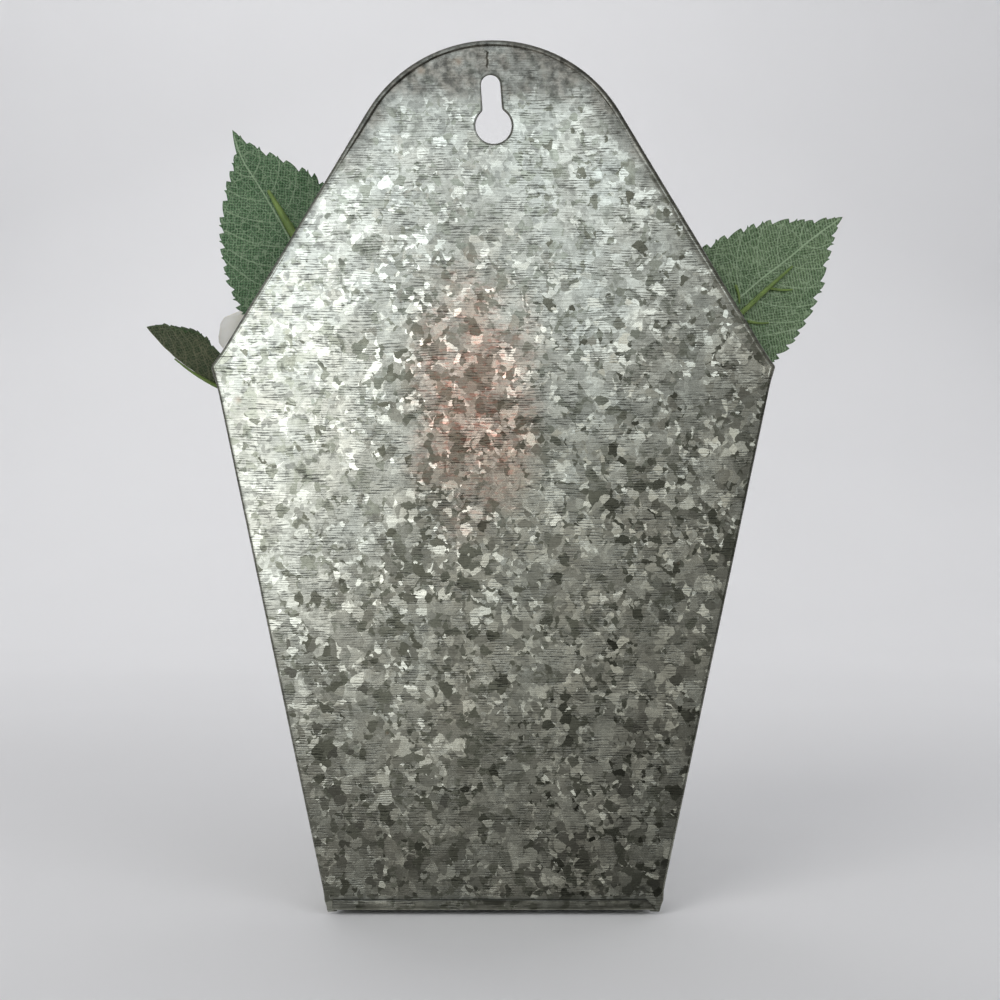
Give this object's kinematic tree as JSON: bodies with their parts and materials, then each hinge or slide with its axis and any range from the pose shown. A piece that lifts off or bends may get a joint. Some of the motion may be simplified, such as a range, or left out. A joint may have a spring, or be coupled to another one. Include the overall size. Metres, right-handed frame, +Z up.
{
  "type": "wall planter",
  "caption": "Wall-hung half-round sheet-metal pocket planter with an arched keyhole back, wired rim, folded base and a lift-out insert of fabric roses and leaves.",
  "frame": {"origin": "on the wall plane, on the centre line of the back panel, level with the centre of the screw seat at the top of the keyhole; the punched slot leans 1 mm towards +X there", "axes": "+Z up, +Y into the wall behind the planter, -Y towards the room, +X to the right seen from the room"},
  "size_m": [0.2415, 0.1243, 0.2879],
  "materials": {
    "galvanised_back": "satin",
    "galvanised_shell": "satin",
    "galvanised_base": "satin",
    "edge_wire": "satin",
    "leaf_fabric": "matte",
    "petal_fabric": "matte",
    "sprig_plastic": "satin",
    "stem_plastic": "satin",
    "calyx_plastic": "satin",
    "foam": "matte"
  },
  "bodies": {
    "planter": {"back_panel": "galvanised_back", "top_edge_wire": "edge_wire", "front_shell": "galvanised_shell", "rim_wire": "edge_wire", "bottom_panel": "galvanised_base"},
    "arrangement": {"rose_stem_left": "stem_plastic", "rose_calyx_left": "calyx_plastic", "rose_outer_petals_left": "petal_fabric", "rose_inner_petals_left": "petal_fabric", "rose_bud_left": "petal_fabric", "rose_stem_centre": "stem_plastic", "rose_calyx_centre": "calyx_plastic", "rose_outer_petals_centre": "petal_fabric", "rose_inner_petals_centre": "petal_fabric", "rose_bud_centre": "petal_fabric", "rose_stem_right": "stem_plastic", "rose_calyx_right": "calyx_plastic", "rose_outer_petals_right": "petal_fabric", "rose_inner_petals_right": "petal_fabric", "rose_bud_right": "petal_fabric", "leaf_left_high": "leaf_fabric", "leaf_left_low": "leaf_fabric", "leaf_left_front": "leaf_fabric", "leaf_centre_left": "leaf_fabric", "leaf_centre_right": "leaf_fabric", "leaf_centre_front": "leaf_fabric", "leaf_right_high": "leaf_fabric", "leaf_right_front": "leaf_fabric", "leaf_right_inner": "leaf_fabric", "leaf_sprig_left": "sprig_plastic", "leaf_sprig_centre": "sprig_plastic", "leaf_sprig_right": "sprig_plastic", "foam_block": "foam"}
  },
  "joints": [
    {"name": "arrangement_lift", "type": "slide", "parent": "planter", "child": "arrangement", "axis": [0, 0, 1], "range_m": [0, 0.19]}
  ]
}
